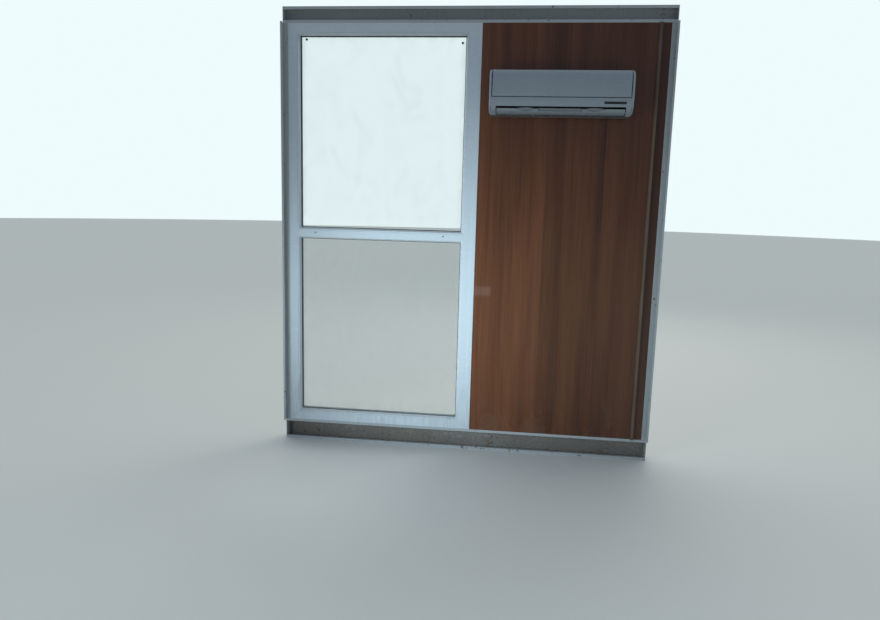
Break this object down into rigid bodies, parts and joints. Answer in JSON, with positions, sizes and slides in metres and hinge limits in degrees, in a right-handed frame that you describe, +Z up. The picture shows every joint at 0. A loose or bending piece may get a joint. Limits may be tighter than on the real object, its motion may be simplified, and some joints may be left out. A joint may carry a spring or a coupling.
{
  "type": "site cabin end wall with full-height window and air conditioner indoor unit",
  "caption": "End wall of a portable site cabin: steel portal, tall two-pane window, wood-grain lining and a wall-hung air conditioner with a lifting front and a swinging flap.",
  "frame": {"origin": "flat underside of the floor beam, at the wall's mid-width and mid-depth", "axes": "+X to the right seen from inside the room, +Y outdoors, +Z up"},
  "size_m": [2.44, 0.301, 2.845],
  "materials": {
    "painted_steel": "satin",
    "window_plastic": "satin",
    "gasket_metal": "satin",
    "window_glass": "clear",
    "wood_laminate": "gloss",
    "foam": "matte",
    "brown_trim": "satin",
    "galvanised_sheet": "satin",
    "ac_shell": "satin",
    "ac_display": "gloss",
    "ac_dark": "matte",
    "coil_fins": "satin"
  },
  "bodies": {
    "wall": {"floor_beam": "painted_steel", "roof_beam": "painted_steel", "left_corner_post": "painted_steel", "right_corner_post": "painted_steel", "window_post": "painted_steel", "window_left_jamb": "window_plastic", "window_right_jamb": "window_plastic", "window_head": "window_plastic", "window_sill": "window_plastic", "window_transom": "window_plastic", "upper_glass": "window_glass", "lower_glass": "window_glass", "upper_glass_spacer": "gasket_metal", "lower_glass_spacer": "gasket_metal", "upper_glazing_beads": "window_plastic", "lower_glazing_beads": "window_plastic", "window_cover_trim": "window_plastic", "outer_window_trim": "painted_steel", "drip_sill": "painted_steel", "lining_board": "wood_laminate", "insulation_core": "foam", "ribbed_cladding": "painted_steel", "corner_trim": "brown_trim", "ac_mounting_plate": "galvanised_sheet", "ac_housing": "ac_shell", "ac_intake_grille": "ac_shell", "ac_display_window": "ac_display", "ac_coil": "coil_fins", "ac_left_filter": "ac_dark", "ac_right_filter": "ac_dark", "ac_fan": "ac_dark", "ac_air_vanes": "ac_dark"},
    "ac_panel": {"ac_front_panel": "ac_shell"},
    "ac_flap": {"ac_louvre_flap": "ac_shell"}
  },
  "joints": [
    {"name": "ac_panel_lift", "type": "hinge", "parent": "wall", "child": "ac_panel", "pos_m": [0.54, -0.212, 2.43], "axis": [-1, 0, 0], "range_deg": [0, 60]},
    {"name": "ac_flap_swing", "type": "hinge", "parent": "wall", "child": "ac_flap", "pos_m": [0.54, -0.19951, 2.20051], "axis": [1, 0, 0], "range_deg": [0, 75]}
  ]
}
